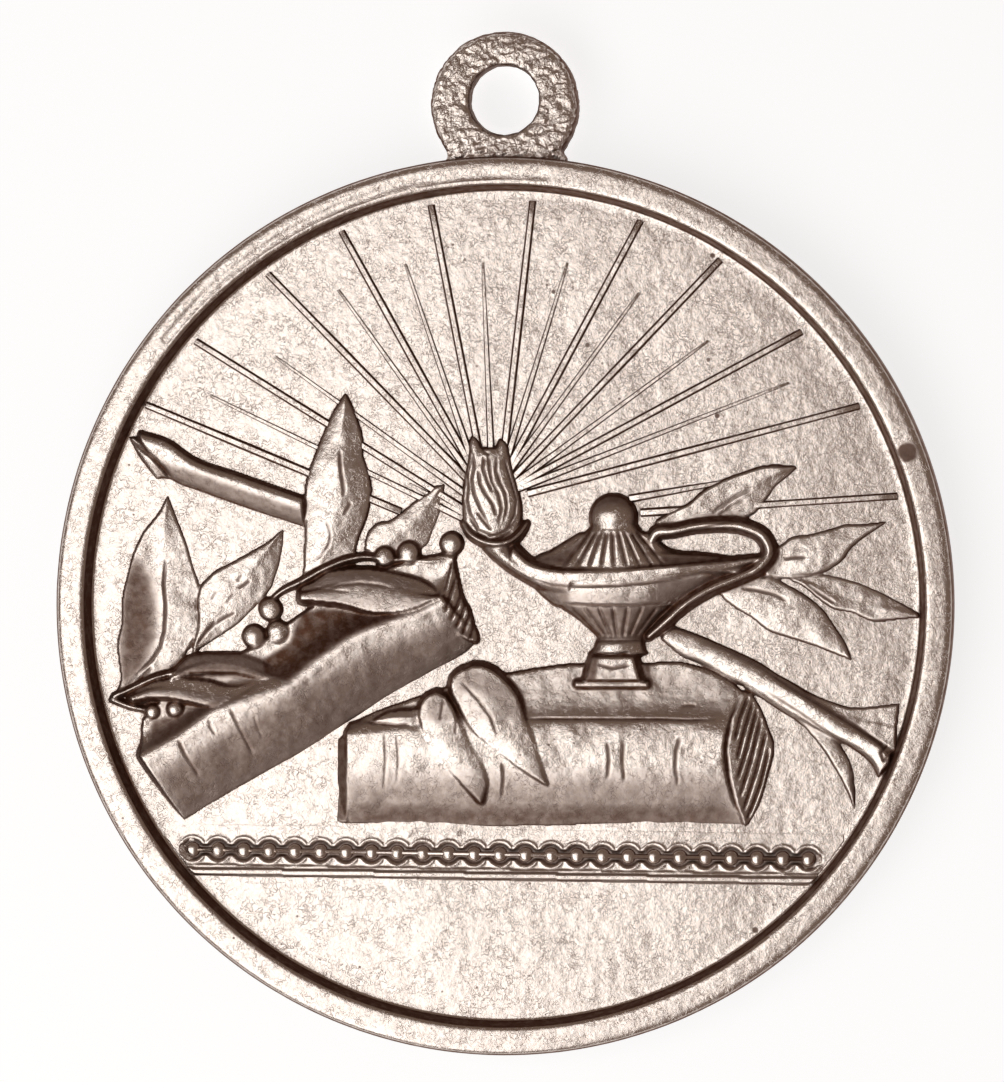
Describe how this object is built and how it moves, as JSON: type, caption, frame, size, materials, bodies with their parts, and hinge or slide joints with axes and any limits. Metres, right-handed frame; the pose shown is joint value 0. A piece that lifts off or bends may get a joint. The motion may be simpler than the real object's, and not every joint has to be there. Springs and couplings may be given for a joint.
{
  "type": "academic prize medal",
  "caption": "Round struck medal with a suspension ear: lamp of learning, two books, laurel and rays in relief above a beaded line, inside a raised rim.",
  "frame": {"origin": "under the middle of the whole outline, on the plane that the medal's reverse rim rests on", "axes": "+Z out of the picture side, +Y from the disc towards the ear, +X to the picture's right"},
  "size_m": [0.032, 0.0364, 0.0026],
  "materials": {
    "white_metal": "struck nickel silver with a warm grey tone, satin from wear, dark patina in the recesses"
  },
  "bodies": {
    "root": {"medal": "white_metal"}
  },
  "joints": []
}
